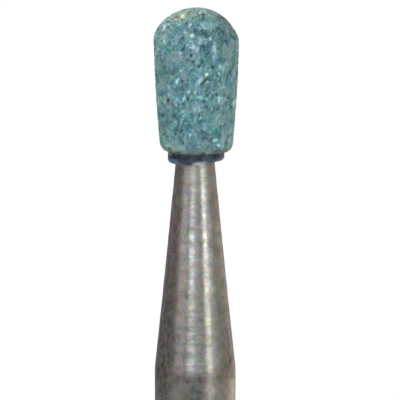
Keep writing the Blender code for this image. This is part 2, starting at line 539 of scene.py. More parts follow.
# Turning marks: relief and spacing of the waves, their strength on the shank and at the neck's wide end,
# and where it changes, in millimetres above the shank's top
TURNING_MARKS = ((0.0016 * MM, 0.19 * MM), (0.0003 * MM, 0.065 * MM))
SHANK_MARKS = 0.45
WIDE_END_MARKS = 1.45
MARKS_RISE = (-0.1, 0.5)
MARKS_FALL = (1.5, 3.0)

# Bands on the steel: strength, start and end, in millimetres above the shank's top
# The steel is darker over the shoulder: less so in front, and more at the back and on the right
SHOULDER_DARK_BAND = (0.55, (-0.45, -0.15), (0.9, 3.6))
BACK_DARK_BAND = (0.25, (-0.45, -0.15), (0.05, 0.35))
RIGHT_DARK_BAND = (0.40, (-0.45, -0.15), (0.45, 0.70))
SPOT = (1.0, (-0.66, -0.50), (-0.38, -0.22))
# Painted shade on the right side, from the shoulder up
RIGHT_PAINTED_SHADE = (1.0, (-0.35, 0.10), (0.8, 2.0))
EVEN_BAND = (0.80, (-0.48, -0.32), (0.0, 0.12))
FRONT_LIGHTER_END = (0.2, 0.7)
FRONT_LIGHTER_SHARE = 0.8
HANDLED_START = (-6.0, -2.0)
SHANK_CLEAN = 0.6

# Where the neck has painted shade under the collar, and where it is rubbed, in millimetres below the
# collar
NECK_PAINTED_SHADE = (0.06, 0.17)
RUBBED_NECK = (0.4, 1.2)
RUBBED_ROUGHNESS = 0.09

# Sides of the mandrel
FRONT_SIDE = (-92, 0.93, 0.985)
RIGHT_SIDE = (-15, 0.90, 0.975)
SPOT_SIDE = (-88, 0.985, 0.998)
NECK_SHADE_SIDE = (-35, 0.80, 0.93)


def spindle_line(gap):
    """The grooved spindle's tip and side, from the axis down to its foot, moved outwards by gap."""
    width = GROOVE_FLOOR + 2 * GROOVE_SLOPE
    pitch = width + GROOVE_LAND
    first = SEAT_Z + SPINDLE_PLAIN_END + width / 2
    last = SPINDLE_TIP_Z - SPINDLE_PLAIN_END - width / 2
    radius = SPINDLE_RADIUS + gap
    top = SPINDLE_TIP_Z + gap
    line = [(0.0, top), (radius - SPINDLE_TIP_CHAMFER, top), (radius, top - SPINDLE_TIP_CHAMFER)]
    for index in reversed(range(math.floor((last - first) / pitch) + 1)):
        middle = first + pitch * index
        line.append((radius, middle + GROOVE_FLOOR / 2 + GROOVE_SLOPE))
        line.append((radius - GROOVE_DEPTH, middle + GROOVE_FLOOR / 2))
        line.append((radius - GROOVE_DEPTH, middle - GROOVE_FLOOR / 2))
        line.append((radius, middle - GROOVE_FLOOR / 2 - GROOVE_SLOPE))
    line.append((radius, SEAT_Z + gap))
    return line


def mandrel_line():
    """The mandrel's profile: spindle, seat, hollow taper, blend, shank and chamfered end."""
    taper = bowed((NECK_RADIUS, COLLAR_FOOT_Z), (SHANK_RADIUS, SHANK_TOP_Z), -NECK_HOLLOW, NECK_STEPS)
    shank_foot = (SHANK_RADIUS, END_CHAMFER)
    blend = rounded(taper[-1 - BLEND_TRIM], taper[-1], shank_foot, NECK_BLEND_RADIUS, BLEND_STEPS)
    seat = (NECK_RADIUS, SEAT_Z)
    fine_foot = (SHANK_RADIUS, SHANK_TOP_Z - FINE_SHANK)
    return joined(
        spindle_line(0.0),
        resampled([seat] + taper[:-BLEND_TRIM] + blend + [fine_foot], FINE_ROW),
        resampled([fine_foot, shank_foot], COARSE_ROW),
        resampled([shank_foot, (SHANK_RADIUS - END_CHAMFER, 0.0)], FINE_ROW),
        [(0.0, 0.0)],
    )


def turning_marks(heights):
    """How far the turning marks stand out at these heights, most at the neck's wide end."""
    rng = np.random.default_rng(MANDREL_SEED)
    marks = sum(
        relief * smooth_noise(rng, MANDREL_HIGH.z, spacing, heights) for relief, spacing in TURNING_MARKS
    )
    above = (heights - SHANK_TOP_Z) / MM
    strength = SHANK_MARKS + (WIDE_END_MARKS - SHANK_MARKS) * smooth_step(above, *MARKS_RISE)
    strength -= (WIDE_END_MARKS - 1) * smooth_step(above, *MARKS_FALL)
    outside = (heights < COLLAR_FOOT_Z) & (heights > END_CHAMFER)
    return np.where(outside, marks, 0.0) * strength


def steel_stains(heights):
    """Where the steel is darker over the shoulder, smudged, darkened by painted shade, dented, handled and
    rubbed, by height and side.
    """
    above = (heights[:, None] - SHANK_TOP_Z) / MM
    below_collar = (COLLAR_FOOT_Z - heights[:, None]) / MM
    angles = ring_angles(MANDREL_SEGMENTS)
    front = toward(angles, *FRONT_SIDE)
    right = toward(angles, *RIGHT_SIDE)
    front_lighter = FRONT_LIGHTER_SHARE * smooth_fall(above, *FRONT_LIGHTER_END) * front
    shoulder_dark = banded(above, *SHOULDER_DARK_BAND) * (1 - front_lighter)
    shoulder_dark += banded(above, *BACK_DARK_BAND) * (1 - front) + banded(above, *RIGHT_DARK_BAND) * right
    smudge_and_shade = banded(above, *SPOT) * toward(angles, *SPOT_SIDE) + banded(above, *RIGHT_PAINTED_SHADE) * right
    # Painted shade on the neck's right front, just under the collar
    smudge_and_shade += smooth_fall(below_collar, *NECK_PAINTED_SHADE) * toward(angles, *NECK_SHADE_SIDE)
    return {
        "shoulder_dark": shoulder_dark,
        "smudge_and_shade": smudge_and_shade,
        "dented": 1 - banded(above, *EVEN_BAND),
        "handled": 1 - SHANK_CLEAN * smooth_fall(above, *HANDLED_START),
        "rubbed": RUBBED_ROUGHNESS * smooth_fall(below_collar, *RUBBED_NECK),
    }


def make_mandrel():
    """Shank, tapered neck and spindle in one mesh, with shallow turning marks all the way down."""
    profile = mandrel_line()
    heights = profile[:, 1]
    points, normals = ring_points(profile, MANDREL_SEGMENTS)
    points += normals * turning_marks(heights)[:, None, None]
    mandrel = lathe_mesh("turned_mandrel", points)
    for name, values in steel_stains(heights).items():
        add_attribute(mandrel, name, np.broadcast_to(values, points.shape[:2]))
    mandrel.data.materials.append(turned_steel())
    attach(mandrel, "root")
    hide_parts("steel_mandrel")


# Collar

COLLAR_SEED = 11
COLLAR_SEGMENTS = 160
COLLAR_ROW = 0.014 * MM
ROUND_STEPS = 8
ROOT_RADIUS = NECK_RADIUS + 0.05 * MM
LIP_INNER_RADIUS = 0.75 * COLLAR_RADIUS
LUMP_RELIEF = 0.006 * MM
LUMP_WAVES = range(2, 14)

# Depths below the collar's top, from where to where each change sets in
DROOP_DEPTH = (0.05 * MM, 0.25 * MM)
DUST_DEPTH = (0.03 * MM, 0.11 * MM)
LIP_DEPTH = (0.13 * MM, 0.21 * MM)
BEVEL_SHEEN_DEPTH = (0.09 * MM, 0.17 * MM)

# Sides of the collar
SAG_SIDE = (-82, 0.72, 0.95)
DUST_SIDE = (188, 0.90, 0.98)
LIP_SIDE = (-83, 0.945, 1.015)
LEFT_SHEEN_SIDE = (-148, 0.90, 0.985)
RIGHT_SHEEN_SIDE = (-25, 0.75, 0.95)

# The painted highlight on the lip is uneven, with one free value each step of its turn in radians
LIP_TURN_STEP = 0.12
LIP_RAGGED = (-1.2, 0.2)
LEAST_LIP_HIGHLIGHT = 0.75
RIGHT_SHEEN = 0.45
LEAST_SHEEN = 0.15


def collar_line():
    """The cement's profile: cap and sleeve in the bore, film over the seat, and the collar's bead."""
    sleeve_foot = (BOND_RADIUS, COLLAR_TOP_Z)
    rim_top = (COLLAR_RADIUS, COLLAR_TOP_Z)
    rim_foot = (COLLAR_RADIUS, COLLAR_FOOT_Z)
    underside = (NECK_RADIUS + FIT_GAP, COLLAR_FOOT_Z)
    edge = rounded(rim_top, rim_foot, underside, COLLAR_ROUND, ROUND_STEPS)
    return joined(
        [(0.0, BOND_HIGH.z), (BOND_RADIUS, BOND_HIGH.z)],
        resampled([sleeve_foot, rim_top] + edge + [underside], COLLAR_ROW),
        [(NECK_RADIUS + FIT_GAP, SEAT_Z + FIT_GAP)],
        reversed(spindle_line(FIT_GAP)),
    )


def make_collar():
    """The cement: a sleeve in the bore and an uneven bead under the head, thicker on its left side."""
    profile = collar_line()
    radius = profile[:, :1]
    depth = COLLAR_TOP_Z - profile[:, 1:]
    bead = (radius > NECK_RADIUS + 2 * FIT_GAP) & (depth > -FIT_GAP)
    outer = smooth_step(radius, ROOT_RADIUS, COLLAR_RADIUS) * bead
    low = smooth_step(depth, *DROOP_DEPTH) * bead

    points, normals = ring_points(profile, COLLAR_SEGMENTS)
    angles = ring_angles(COLLAR_SEGMENTS)
    rng = np.random.default_rng(COLLAR_SEED)
    lumps = LUMP_RELIEF * sum(
        rng.normal() / wave * np.cos(wave * angles + rng.uniform(0, 2 * math.pi)) for wave in LUMP_WAVES
    )
    droop = COLLAR_DROOP - np.cos(angles) * COLLAR_LEAN + COLLAR_SAG * toward(angles, *SAG_SIDE)
    points[:, :, 2] -= low * (droop + lumps)
    points += normals * (outer * (COLLAR_SWELL + lumps))[:, :, None]
    points[:, :, 0] += outer * COLLAR_RUN_OUT
    collar = lathe_mesh("cement_collar", points)

    ragged = smooth_noise(rng, 2 * math.pi, LIP_TURN_STEP, angles)
    highlight_share = LEAST_LIP_HIGHLIGHT + (1 - LEAST_LIP_HIGHLIGHT) * smooth_step(ragged, *LIP_RAGGED)
    right_sheen = RIGHT_SHEEN * toward(angles, *RIGHT_SHEEN_SIDE) + LEAST_SHEEN
    sheen_side = np.maximum(toward(angles, *LEFT_SHEEN_SIDE), right_sheen)
    lip_foot = bead * (radius > LIP_INNER_RADIUS) * smooth_step(depth, *LIP_DEPTH)
    dusty = outer * smooth_fall(depth, *DUST_DEPTH)
    add_attribute(collar, "dust", dusty * toward(angles, *DUST_SIDE))
    # Painted highlight along the collar's lip, in front
    add_attribute(collar, "lip_highlight", lip_foot * highlight_share * toward(angles, *LIP_SIDE))
    # Painted sheen on the collar's lower bevel, most on the left and right
    add_attribute(collar, "bevel_sheen", bead * smooth_step(depth, *BEVEL_SHEEN_DEPTH) * sheen_side)
    collar.data.materials.append(dark_cement())
    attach(collar, "root")
    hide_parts("bond_collar")


# Head

HEAD_SEED = 23
HEAD_SEGMENTS = 330
HEAD_ROW = 0.0238 * MM
BORE_ROW = 10 * HEAD_ROW
DOME_STEPS = 40
FLANK_STEPS = 40
HEEL_STEPS = 12

# The fillet at the dome's edge takes the place of this many steps of dome and flank
EDGE_TRIM = 3

# Grains, their cut faces, the seams between them and the pores
SMALL_GRAINS = 4600
LARGE_GRAINS = 420
LARGE_REACH = (0.045 * MM, 0.095 * MM)
GRAIN_RELIEF = 0.007 * MM
GRAIN_STRETCH = 1.40
GRAIN_TWIST = 0.25 / MM
GRAIN_TILT = 0.45
CUT_FACES = 3
FACE_LEVEL = (0.2, 1.0)
SEAM_WIDTH = 0.014 * MM
SEAM_RELIEF = 0.006 * MM
PORE_SHARE = 0.022
PORE_EDGE = 0.03 * MM
PORE_RELIEF = 0.030 * MM

# The heel's grains bulge just outside the collar and are nearly flat over it
HEEL_BULGE = 0.012 * MM
BULGE_EDGE = 0.04 * MM
BULGE_RADIUS = (COLLAR_RADIUS + 0.01 * MM, COLLAR_RADIUS + 0.05 * MM)
BULGE_HEIGHT = (0.06 * MM, 0.12 * MM)
COVERED_RADIUS = COLLAR_RADIUS + 0.05 * MM
COVERED_RELIEF = 0.15

# The heel leans, the nose is worn, and the dome sits back towards the axis, less so at the nose. Slopes
# on the dome are in shares of its rise, below the nose.
HEEL_LEAN = 0.018 * MM
LEAN_HEIGHT = 0.1 * MM
LEAN_RADIUS = COLLAR_RADIUS + 0.08 * MM
NOSE_WEAR = 0.012 * MM
WEAR_SLOPE = (0.45, 0.25)
DOME_SHIFT = (1.30, 0.65)
NOSE_SHIFT = (0.55, 0.10)
NOSE_SHIFT_SHARE = 0.8

# Tone, hue and glint of the grains, and how dark seams and pores are
MEAN_TONE = 0.47
TONE_SPREAD = 0.67
TONE_CURVE = (2.0, 2.3)
HUE_SPREAD = 0.24
# A share of the grains glint with a painted highlight
GLINT_SHARE = 0.002
GLINT_EDGE = (0.004 * MM, 0.02 * MM)
SEAM_DARK = 0.10
PORE_DARK = 0.70

# Flanks and nose: calmer, painted sheen. Right shoulder: painted shade. Heel: dust and painted shade
FLANK_EDGE = (0.35, 1.0)
FLANK_CALM = 0.30
NOSE_SLOPE = (0.45, 0.10)
NOSE_CALM = 0.50
NOSE_GREEN = 0.22
NOSE_WARMTH = 0.12
NOSE_SHEEN = 0.8
SHADED_SIDE = (-22, 0.50, 0.95)
SHADED_START = (1.1, 0.8)
SHADED_END = (0.36, 0.10)
SHOULDER_SHADE = 0.20
# Painted shade on the right shoulder, and on the heel up to this height
SHOULDER_PAINTED_SHADE = 0.3
HEEL_SHADE_REACH = 0.235 * MM
DUST_REACH = (0.10 * MM, 0.36 * MM)
HEEL_WARMTH = 0.11

# A painted warm highlight on the nose, by its direction from the middle of the dome
DOME_CENTRE = np.array([0.0, 0.0, HEAD_TOP_Z - DOME_RADIUS])
WARM_SHEEN = np.array([-0.29, -0.32, 0.90])
WARM_SHEEN_EDGE = (0.945, 0.995)
WARM_SHEEN_SHARE = (0.25, 0.85)

# Crystals that stand out. Each kind has its tone, hue, glint, depth and cover, its width and length in
# millimetres and its lean to the right in degrees, then its places as the camera sees them, in millimetres
# right of the axis and below the nose. Later kinds cover earlier ones. Glint paints a highlight.
CRYSTALS = {
    "mist": (0.50, 0.50, 0, 0, 0.38, 1, 0.75, 0, ((0.05, 1.80),)),
    "murk": (0.33, 0.52, 0, 0, 0.40, 1.20, 0.85, 0, ((0.02, 3.85),)),
    "haze": (0.70, 0.58, 0, 0, 0.28, 0.95, 0.60, 0, ((0, 0.70),)),
    "band": (0.20, 0.33, 0, 0, 0.32, 1.20, 0.42, 0, ((0.05, 0.33),)),
    "dusk": (0.20, 0.38, 0, 0, 0.45, 0.35, 0.60, 0, ((-0.90, 1.80), (-0.90, 3.25))),
    "rime": (0.92, 0.45, 0, 0, 0.70, 0.26, 0.48, 75, ((0.36, 0.52),)),
    "gulf": (0.03, 0.70, 0, 0.10, 0.70, 0.17, 0.56, 85, ((0.17, 0.72),)),
    "frost": (0.80, 0.58, 0, 0, 0.65, 0.24, 0.22, 20, ((-0.40, 4.05),)),
    "pale": (0.92, 0.38, 0, 0, 0.80, 0.17, 0.28, 48, ((0.12, 2.12),)),
    "aqua": (0.70, 0.28, 0, 0, 0.60, 0.22, 0.20, 45, (
        (-0.15, 0.85), (-0.20, 2.90), (0.55, 3.30),
    )),
    "green": (0.55, 0, 0, 0, 0.60, 0.14, 0.16, 20, (
        (0.50, 0.25), (-0.95, 1.10), (0.80, 2.05), (-0.70, 3.35), (-0.85, 3.80),
    )),
    "straw": (0.65, 0.05, 0, 0, 0.65, 0.08, 0.18, 75, ((-0.75, 2.85), (-0.85, 2.60))),
    "blue": (0.42, 0.76, 0, 0, 0.65, 0.14, 0.30, 85, (
        (-0.50, 0.75), (-0.50, 1.70), (-0.50, 2.50), (-0.10, 3.90),
    )),
    "violet": (0.47, 1, 0, 0, 0.40, 0.14, 0.18, 15, (
        (-0.15, 1.25), (0.30, 1), (-0.80, 3.00), (1, 2.20), (1, 3.40),
    )),
    "shade": (0.12, 0.55, 0, 0, 0.60, 0.13, 0.40, 80, (
        (-0.75, 1.85), (-0.35, 0.55), (-0.85, 3.30),
    )),
    # Painted shadow between the heel and the collar, on the right
    "heel_shadow": (0, 0.20, 0, 0.25, 0.80, 0.30, 0.14, 0, ((0.65, 4.14),)),
    "gash": (0, 0.74, 0, 0.45, 0.95, 0.07, 0.34, 42, ((0.27, 2.11),)),
    "nick": (0, 0.70, 0, 0.25, 0.75, 0.06, 0.22, -50, ((0.24, 3.57),)),
    "deep": (0, 0.74, 0, 0.35, 0.85, 0.11, 0.11, 0, (
        (0, 0.65), (0.30, 0.75), (-0.05, 1.55), (0.20, 1.55),
        (0.25, 2.70), (0.32, 2.85), (-0.35, 1.20),
    )),
    "dark": (0, 0.58, 0, 0.65, 0.90, 0.08, 0.10, 0, (
        (0.22, 0.20), (-0.25, 0.45), (-0.37, 0.88), (0.25, 1.13), (-0.12, 1.38), (0.50, 1.70),
        (0.62, 2.50), (-0.78, 2.65), (-0.95, 3.07),
    )),
    "dim": (0, 0.58, 0, 0.30, 0.80, 0.075, 0.085, 0, ((-0.57, 3.63), (-0.35, 3.90), (0.45, 3.80))),
    "pepper": (0, 0.62, 0, 0.45, 0.80, 0.055, 0.07, 10, (
        (-0.05, 0.50), (0.09, 0.51), (0.19, 0.66), (-0.22, 0.62), (0.42, 0.80),
    )),
    "salt": (1, 0.45, 0, 0, 0.85, 0.055, 0.07, 10, (
        (0.03, 0.57), (0.14, 0.60), (0.47, 0.66), (-0.30, 0.70), (0.30, 0.58),
    )),
    "crumb": (0, 0.30, 0, 0.35, 0.85, 0.16, 0.06, 0, ((-0.47, 4.18), (0.22, 4.20), (-0.20, 4.21))),
    "sliver": (1, 0.62, 0.20, 0, 0.90, 0.075, 0.22, 20, (
        (-0.15, 0.52), (-0.88, 0.55), (-0.53, 2.12), (-0.33, 2.63), (1.13, 2.70),
    )),
    "fleck": (1, 0.50, 0, 0, 0.90, 0.08, 0.10, 30, (
        (0.15, 0.13), (0.15, 0.92), (0.45, 0.90), (-0.42, 1.32), (0.72, 1.70), (0.12, 2.15),
        (0, 2.45), (0.33, 2.62), (0.16, 3.16), (-0.15, 3.65), (0.68, 3.94),
    )),
    "spark": (1, 0.45, 0.35, 0, 1, 0.08, 0.13, 65, ((0.57, 3.80),)),
    "sky_glint": (1, 0.70, 1, 0, 1, 0.075, 0.085, 0, ((0.70, 1.90),)),
    "white_glint": (1, 0.50, 1, 0, 1, 0.07, 0.08, 0, ((0.33, 1.92),)),
    "sea_glint": (1, 0.25, 1, 0, 0.8, 0.07, 0.10, 50, ((-0.08, 0.80),)),
    "cream_glint": (1, 0, 1, 0, 1, 0.11, 0.11, 0, ((-0.37, 0.22),)),
}

# The places' zero, right of the axis and below the nose, the shares of its half width where a crystal is
# full and where it ends, and how far its edge follows the grains towards their seeds
SEEN_RIGHT = -0.006 * MM
SEEN_DOWN = 0.042 * MM
CRYSTAL_EDGE = (0.60, 1.50)
CRYSTAL_CUT = 0.25


def head_line():
    """The head's profile, and how many of its points are outside the bore."""
    heel_radius = HEAD_RADIUS - FLANK_TAPER
    heel_z = HEAD_BASE_Z + HEEL_RADIUS
    edge_angle = math.degrees(math.acos(HEAD_RADIUS / DOME_RADIUS))
    dome = arc((0.0, HEAD_TOP_Z - DOME_RADIUS), DOME_RADIUS, 90.0, edge_angle, DOME_STEPS)
    flank = bowed(dome[-1], (heel_radius, heel_z), FLANK_BULGE, FLANK_STEPS)
    heel = arc((heel_radius - HEEL_RADIUS, heel_z), HEEL_RADIUS, 0.0, -90.0, HEEL_STEPS)
    edge = rounded(dome[-1 - EDGE_TRIM], dome[-1], flank[EDGE_TRIM], DOME_EDGE_RADIUS, ROUND_STEPS)
    mouth = (BORE_RADIUS, HEAD_BASE_Z)
    end = (BORE_RADIUS, BORE_END_Z)
    outside = dome[:-EDGE_TRIM] + edge + flank[EDGE_TRIM:] + heel[1:] + [mouth]
    outside = joined(resampled(outside, HEAD_ROW))
    return joined(outside, resampled([mouth, end], BORE_ROW), [(0.0, BORE_END_Z)]), len(outside)


def scattered_seeds(rng, profile, count):
    """Points scattered evenly over the turned surface, with their surface normals."""
    steps = np.linalg.norm(np.diff(profile, axis=0), axis=1)
    middles = (profile[1:] + profile[:-1]) / 2
    weights = steps * middles[:, 0]
    rows = rng.choice(len(steps), size=count, p=weights / weights.sum())
    share = rng.random(count)[:, None]
    flat = profile[rows] * (1 - share) + profile[rows + 1] * share
    angles = rng.uniform(0, 2 * math.pi, count)
    return spun(flat, angles), spun(profile_normals(profile)[rows], angles)


def search_tree(points):
    """A tree that finds the points nearest to a place."""
    tree = KDTree(len(points))
    for index, point in enumerate(points):
        tree.insert(point, index)
    tree.balance()
    return tree


def grain_seeds(rng, profile):
    """Seeds of large and small grains. A small grain that would be inside a large one is left out."""
    large, large_normals = scattered_seeds(rng, profile, LARGE_GRAINS)
    small, small_normals = scattered_seeds(rng, profile, SMALL_GRAINS)
    reach = rng.uniform(*LARGE_REACH, LARGE_GRAINS)
    tree = search_tree(large)
    kept = []
    for row, seed in enumerate(small):
        _, owner, distance = tree.find(seed)
        if distance > reach[owner]:
            kept.append(row)
    return np.vstack([large, small[kept]]), np.vstack([large_normals, small_normals[kept]])


def unwound(points):
    """The points where grains that are long and lean to the right would be round and upright."""
    turn = -GRAIN_TWIST * (points[:, 2] - HEAD_BASE_Z)
    x = points[:, 0] * np.cos(turn) - points[:, 1] * np.sin(turn)
    y = points[:, 0] * np.sin(turn) + points[:, 1] * np.cos(turn)
    return np.column_stack([x, y, points[:, 2] / GRAIN_STRETCH])


class Grains:
    """The head's grains, and for each point of its skin the grain that it is in, and how far inside."""

    def __init__(self, rng, profile, outer):
        self.rng = rng
        self.seeds, self.normals = grain_seeds(rng, profile)
        self.owner = np.empty(len(outer), int)
        self.margin = np.empty(len(outer))
        tree = search_tree(unwound(self.seeds))
        for row, point in enumerate(unwound(outer)):
            near, far = tree.find_n(point, 2)
            self.owner[row] = near[1]
            self.margin[row] = far[2] - near[2]

    def each(self, draw, *limits):
        """A random number for each grain, given to all of its points."""
        return draw(*limits, len(self.seeds))[self.owner]

    def inside(self, low, high):
        """0 where a point is less than low inside its grain, and 1 where it is more than high inside."""
        return smooth_step(self.margin, low, high)

    def cut_faces(self, outer):
        """How deep the grains' cut faces lie under the points. A face never stands out."""
        away = outer - self.seeds[self.owner]
        faces = np.zeros(len(outer))
        for _ in range(CUT_FACES):
            tilt = self.rng.normal(0, GRAIN_TILT, self.seeds.shape)
            tilt -= self.normals * np.sum(tilt * self.normals, axis=1, keepdims=True)
            level = self.each(self.rng.normal, *FACE_LEVEL) * GRAIN_RELIEF
            faces = np.minimum(faces, level + np.sum(away * tilt[self.owner], axis=1))
        return -faces


def dome_slope(heights, start, end):
    """0 below start and 1 above end, which are shares of the dome's rise, below the nose."""
    return smooth_step(heights, HEAD_TOP_Z - start * DOME_RISE, HEAD_TOP_Z - end * DOME_RISE)


def set_off_axis(skin, radius, height):
    """Moves the head's skin: wears the nose, leans the heel and sets head and dome off the axis."""
    skin[:, :, 2] -= NOSE_WEAR * dome_slope(height, *WEAR_SLOPE)
    low = smooth_step(HEAD_BASE_Z + HEEL_RADIUS - height, 0.0, LEAN_HEIGHT)
    low *= smooth_step(radius, COLLAR_RADIUS, LEAN_RADIUS)
    skin[:, :, 2] -= low * skin[:, :, 0] / HEAD_RADIUS * HEEL_LEAN
    dome_share = dome_slope(height, *DOME_SHIFT)
    dome_share *= 1 - NOSE_SHIFT_SHARE * dome_slope(height, *NOSE_SHIFT)
    free = smooth_step(radius, BORE_RADIUS, COLLAR_RADIUS)
    free[height > HEAD_BASE_Z + HEEL_RADIUS] = 1.0
    skin[:, :, 0] += free * (HEAD_RUN_OUT + DOME_RUN_OUT * dome_share)


def grain_looks(grains, outer, seam, pore):
    """Tone, hue, glint, depth, dust, and painted sheen and shade of the head's points, by grain and by
    place on the head.
    """
    rng = grains.rng
    tone = MEAN_TONE + TONE_SPREAD * (grains.each(rng.beta, *TONE_CURVE) - MEAN_TONE)
    hue = 0.5 + HUE_SPREAD * (grains.each(rng.random) - 0.5)
    # Painted highlights on a few grains
    glint = (grains.each(rng.random) < GLINT_SHARE) * grains.inside(*GLINT_EDGE)
    from_centre = outer - DOME_CENTRE
    # Painted warm highlight on the nose's upper left
    toward_sheen = from_centre @ WARM_SHEEN / np.linalg.norm(from_centre, axis=1)
    warm_sheen = smooth_step(toward_sheen, *WARM_SHEEN_EDGE) * grains.each(rng.uniform, *WARM_SHEEN_SHARE)
    height = outer[:, 2]
    turn = np.arctan2(outer[:, 1], outer[:, 0])
    flank = smooth_step(np.abs(np.cos(turn)), *FLANK_EDGE)
    nose = dome_slope(height, *NOSE_SLOPE)
    shoulder = toward(turn, *SHADED_SIDE)
    shoulder *= dome_slope(height, *SHADED_START) * (1 - dome_slope(height, *SHADED_END))
    dusty = smooth_fall(height - HEAD_BASE_Z, *DUST_REACH)
    # Painted shade, darker towards the heel's bottom
    heel_shade = smooth_fall(height - HEAD_BASE_Z, 0.0, HEEL_SHADE_REACH)
    grazed = np.maximum(flank * FLANK_CALM, nose * NOSE_CALM)
    return {
        "tone": tone + (0.5 - tone) * grazed - SHOULDER_SHADE * shoulder,
        "hue": hue + (0.5 - NOSE_GREEN * nose - hue) * grazed,
        "glint": glint,
        "depth": np.clip(SEAM_DARK * seam + PORE_DARK * pore, 0, 1),
        # Painted warm highlight, a warmer nose, and warm dust on the heel
        "warm_sheen_and_dust": np.maximum.reduce([warm_sheen, NOSE_WARMTH * nose, HEEL_WARMTH * dusty]),
        "calm": np.ones(len(outer)),
        # Painted sheen on the flanks and the nose
        "grazing_sheen": np.maximum(flank, NOSE_SHEEN * nose),
        "painted_shade": np.maximum(heel_shade, SHOULDER_PAINTED_SHADE * shoulder),
    }


def seen_places(points, normals):
    """The points' places in view, right of the axis and below the nose, and if they face the camera."""
    up, back = math.cos(VIEW_TILT), math.sin(VIEW_TILT)
    below = HEAD_TOP_Z * up - (points[:, 2] * up + points[:, 1] * back) - SEEN_DOWN
    return points[:, 0] - SEEN_RIGHT, below, normals[:, 2] * back - normals[:, 1] * up > 0


def crystal_share(seen, across, drop, width, length, lean):
    """How far each point of the head is inside one crystal that stands out, from 0 to 1."""
    right, below, facing = seen
    right = right - across * MM
    up = drop * MM - below
    tilt = math.radians(lean)
    wide = right * math.cos(tilt) - up * math.sin(tilt)
    long = right * math.sin(tilt) + up * math.cos(tilt)
    distance = np.hypot(wide / (0.5 * width * MM), long / (0.5 * length * MM))
    return smooth_fall(distance, *CRYSTAL_EDGE) * facing


def lay_crystals(looks, seen):
    """Lays the crystals that stand out over the other grains. The cloud of tones is calm on them."""
    for *kind, cover, width, length, lean, places in CRYSTALS.values():
        for across, drop in places:
            share = crystal_share(seen, across, drop, width, length, lean) * cover
            for name, value in zip(("tone", "hue", "glint", "depth"), kind):
                looks[name] += (value - looks[name]) * share
            looks["calm"] *= 1 - share


def make_head():
    """Grit grains on a dressed head: each grain is a small crystal with cut faces, with pores between."""
    profile, outside_count = head_line()
    points, normals = ring_points(profile, HEAD_SEGMENTS)
    skin = points[:outside_count]
    skin_normals = normals[:outside_count]
    radius = profile[:outside_count, :1]
    height = profile[:outside_count, 1:]

    rng = np.random.default_rng(HEAD_SEED)
    grains = Grains(rng, profile[:outside_count], skin.reshape(-1, 3))
    faces = grains.cut_faces(skin.reshape(-1, 3))
    seam = 1 - grains.inside(0.0, SEAM_WIDTH)
    pore = (grains.each(rng.random) < PORE_SHARE) * grains.inside(0.0, PORE_EDGE)
    bulge = grains.each(rng.uniform, 0.0, HEEL_BULGE) * grains.inside(0.0, BULGE_EDGE)
    sunk = (faces + seam * SEAM_RELIEF + pore * PORE_RELIEF).reshape(skin.shape[:2])
    covered = (height < HEAD_BASE_Z + FIT_GAP) & (radius < COVERED_RADIUS)
    heel = smooth_step(radius, *BULGE_RADIUS) * smooth_fall(height - HEAD_BASE_Z, *BULGE_HEIGHT)
    sunk = sunk * np.where(covered, COVERED_RELIEF, 1.0) - heel * bulge.reshape(skin.shape[:2])
    skin -= skin_normals * sunk[:, :, None]
    set_off_axis(skin, radius, height)
    head = lathe_mesh("grit_head", points)

    outer = skin.reshape(-1, 3)
    looks = grain_looks(grains, outer, seam, pore)
    toward_seeds = outer + (grains.seeds[grains.owner] - outer) * CRYSTAL_CUT
    lay_crystals(looks, seen_places(toward_seeds, skin_normals.reshape(-1, 3)))
    for name, values in looks.items():
        whole = np.zeros(points.shape[:2])
        whole[:outside_count] = values.reshape(skin.shape[:2])
        add_attribute(head, "grain_" + name, whole)
    head.data.materials.append(green_grit())
    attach(head, "root")
    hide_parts("abrasive_head")


# Stage, light and camera

VIEW_DISTANCE = 200 * MM
PIXELS = 400
PIXELS_PER_MM = 34.5
AXIS_PIXEL = 195.15
SHOULDER_PIXEL = 367.5
AXIS_SHIFT = (PIXELS / 2 - AXIS_PIXEL) / PIXELS_PER_MM * MM
SHOULDER_DROP = (SHOULDER_PIXEL - PIXELS / 2) / (PIXELS_PER_MM * math.cos(VIEW_TILT)) * MM
VIEW_TARGET = Vector((AXIS_SHIFT, 0.0, SHANK_TOP_Z + SHOULDER_DROP))
SENSOR_WIDTH = 36.0
CLIP_RANGE = (0.01, 5.0)

# Lamps: azimuth and elevation in degrees, 0 being the camera's side and 90 the right, then distance,
# width and height in millimetres, power in watts and colour
LAMPS = {
    "key_strip": (42.2, 11, 120, 35, 64, 0.0152, (0.96, 1.0, 0.93)),
    "window": (-14, 15, 125, 40, 66, 0.0148, (0.87, 1.0, 1.03)),
    "left_box": (-49, 14, 120, 66, 80, 0.0078, (1.0, 0.95, 0.965)),
    "left_back_strip": (-140, 26, 120, 24, 60, 0.012, WHITE),
    "right_back_box": (150, 30, 120, 40, 60, 0.012, WHITE),
    "warm_back": (201, 42, 120, 26, 26, 0.040, (1.0, 0.93, 0.76)),
    "top_box": (-65, 62, 130, 90, 90, 0.030, WHITE),
}

# The studio wall: radius and height of its rows in millimetres, and where its colours change over
WALL_ROWS = ((40, 0.5), (95, 1.5), (130, 10), (145, 28), (145, 200))
WALL_STEPS = 96
WALL_BLEND = (14 * MM, 32 * MM)

